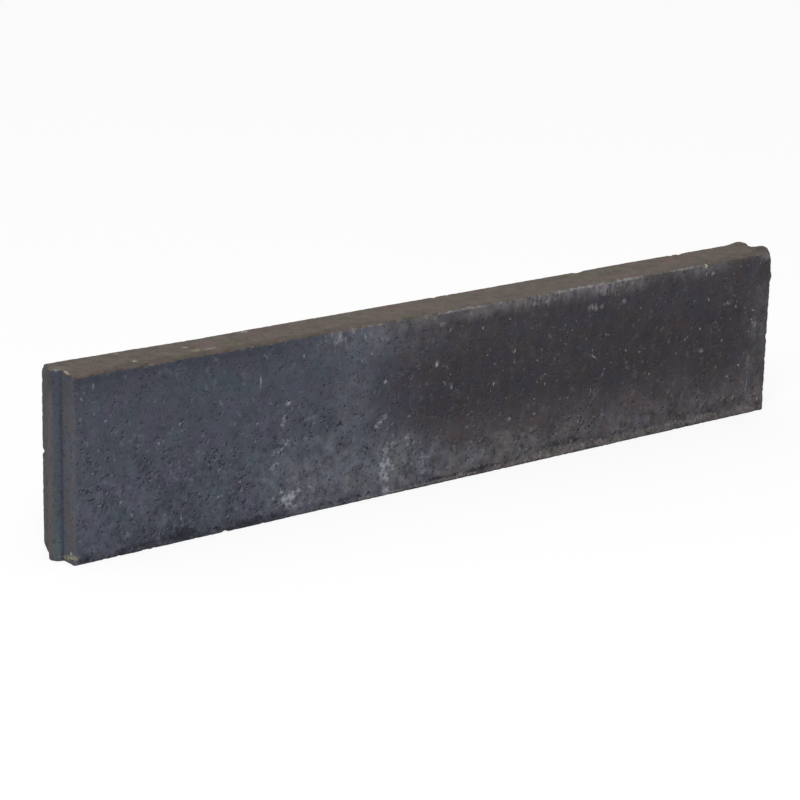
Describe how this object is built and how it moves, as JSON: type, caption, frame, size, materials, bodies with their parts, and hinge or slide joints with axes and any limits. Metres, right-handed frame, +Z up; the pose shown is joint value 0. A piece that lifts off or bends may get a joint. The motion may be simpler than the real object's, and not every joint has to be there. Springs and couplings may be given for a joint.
{
  "type": "concrete kerb stone",
  "caption": "Straight dark concrete edging kerb with a full-height tongue on one end and a matching groove in the other.",
  "frame": {"origin": "middle of the base, halfway between the shoulders of the two ends", "axes": "+X along the kerb towards the grooved end (the tongue is at -X), +Y through its thickness, +Z up from the base to the visible top"},
  "size_m": [1.01, 0.06, 0.2],
  "materials": {
    "concrete": "matte"
  },
  "bodies": {
    "root": {"kerb_stone": "concrete"}
  },
  "joints": []
}
